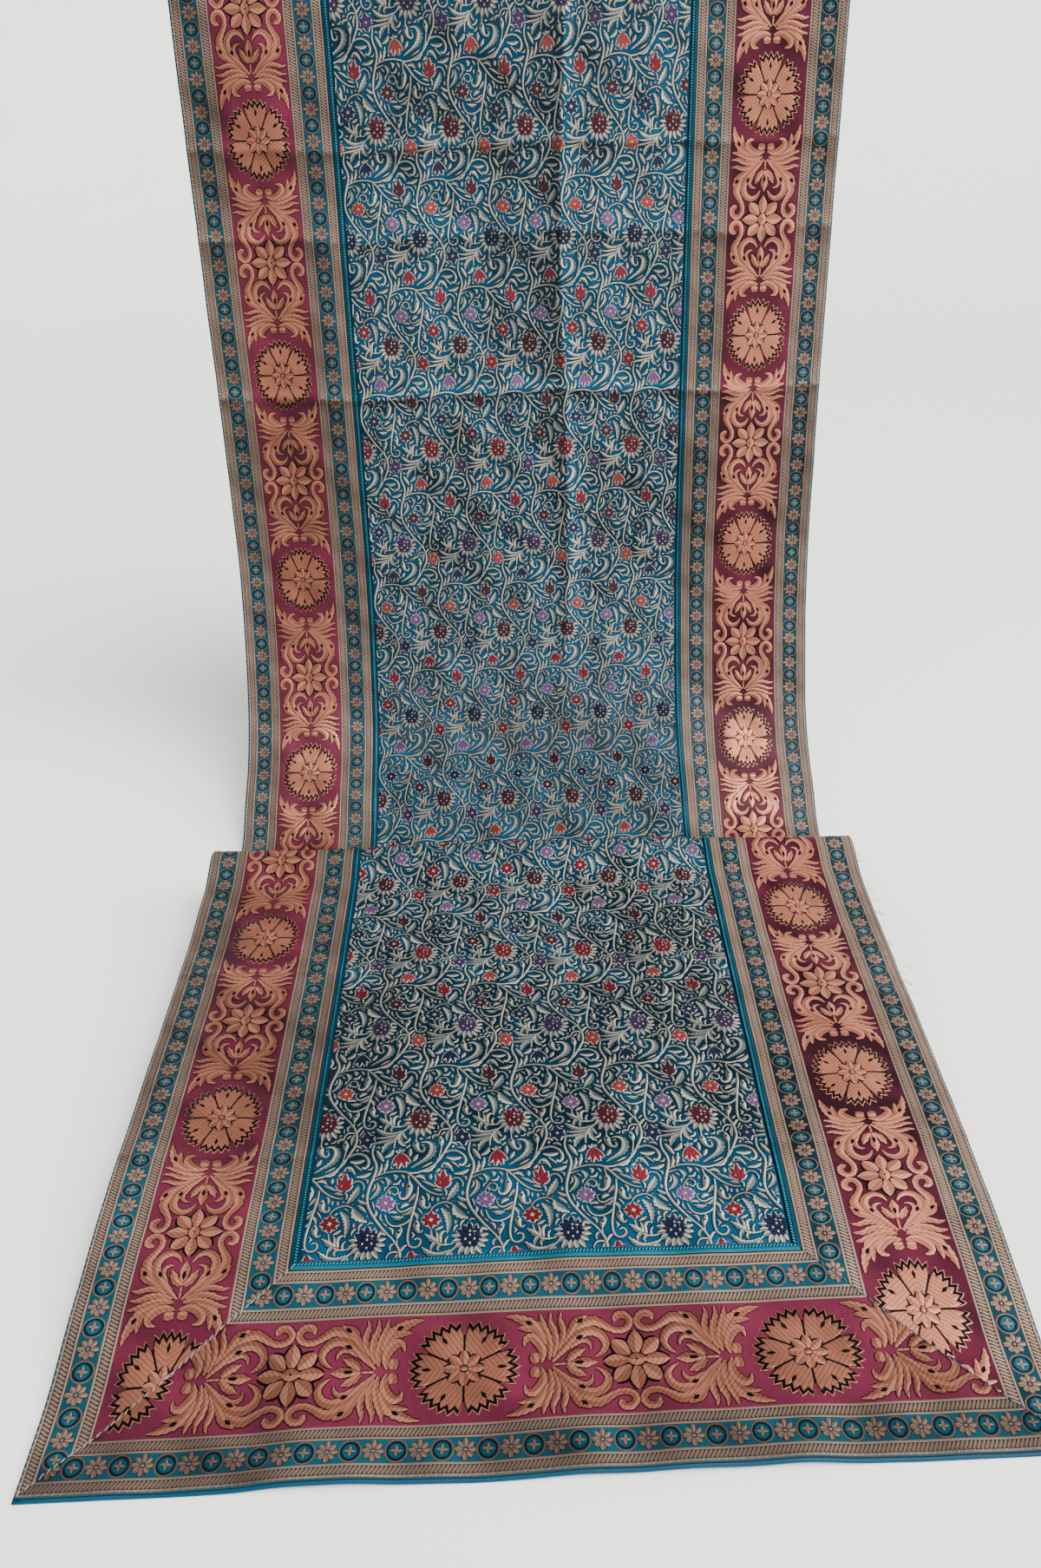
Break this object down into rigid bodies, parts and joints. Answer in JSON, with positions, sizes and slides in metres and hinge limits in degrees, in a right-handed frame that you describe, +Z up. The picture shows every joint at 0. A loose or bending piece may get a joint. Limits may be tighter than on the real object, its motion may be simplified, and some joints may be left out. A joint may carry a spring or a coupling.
{
  "type": "folded silk tapestry",
  "caption": "Lined silk brocade hanging that drops from its top edge, sweeps forward and lies on a surface in one back-and-forth fold.",
  "frame": {"origin": "middle of the underside of the cloth's box, level with the surface that the folded part lies on", "axes": "+X to the right of someone facing the cloth, +Y away from them towards the hanging part, +Z up"},
  "size_m": [0.4, 0.5792, 0.6492],
  "materials": {
    "brocade_ground": "satin",
    "border_weave": "satin",
    "lining": "matt"
  },
  "bodies": {
    "root": {"backing": "lining", "panel": "brocade_ground", "border_left": "border_weave", "border_right": "border_weave", "border_front": "border_weave", "border_top": "border_weave"}
  },
  "joints": []
}
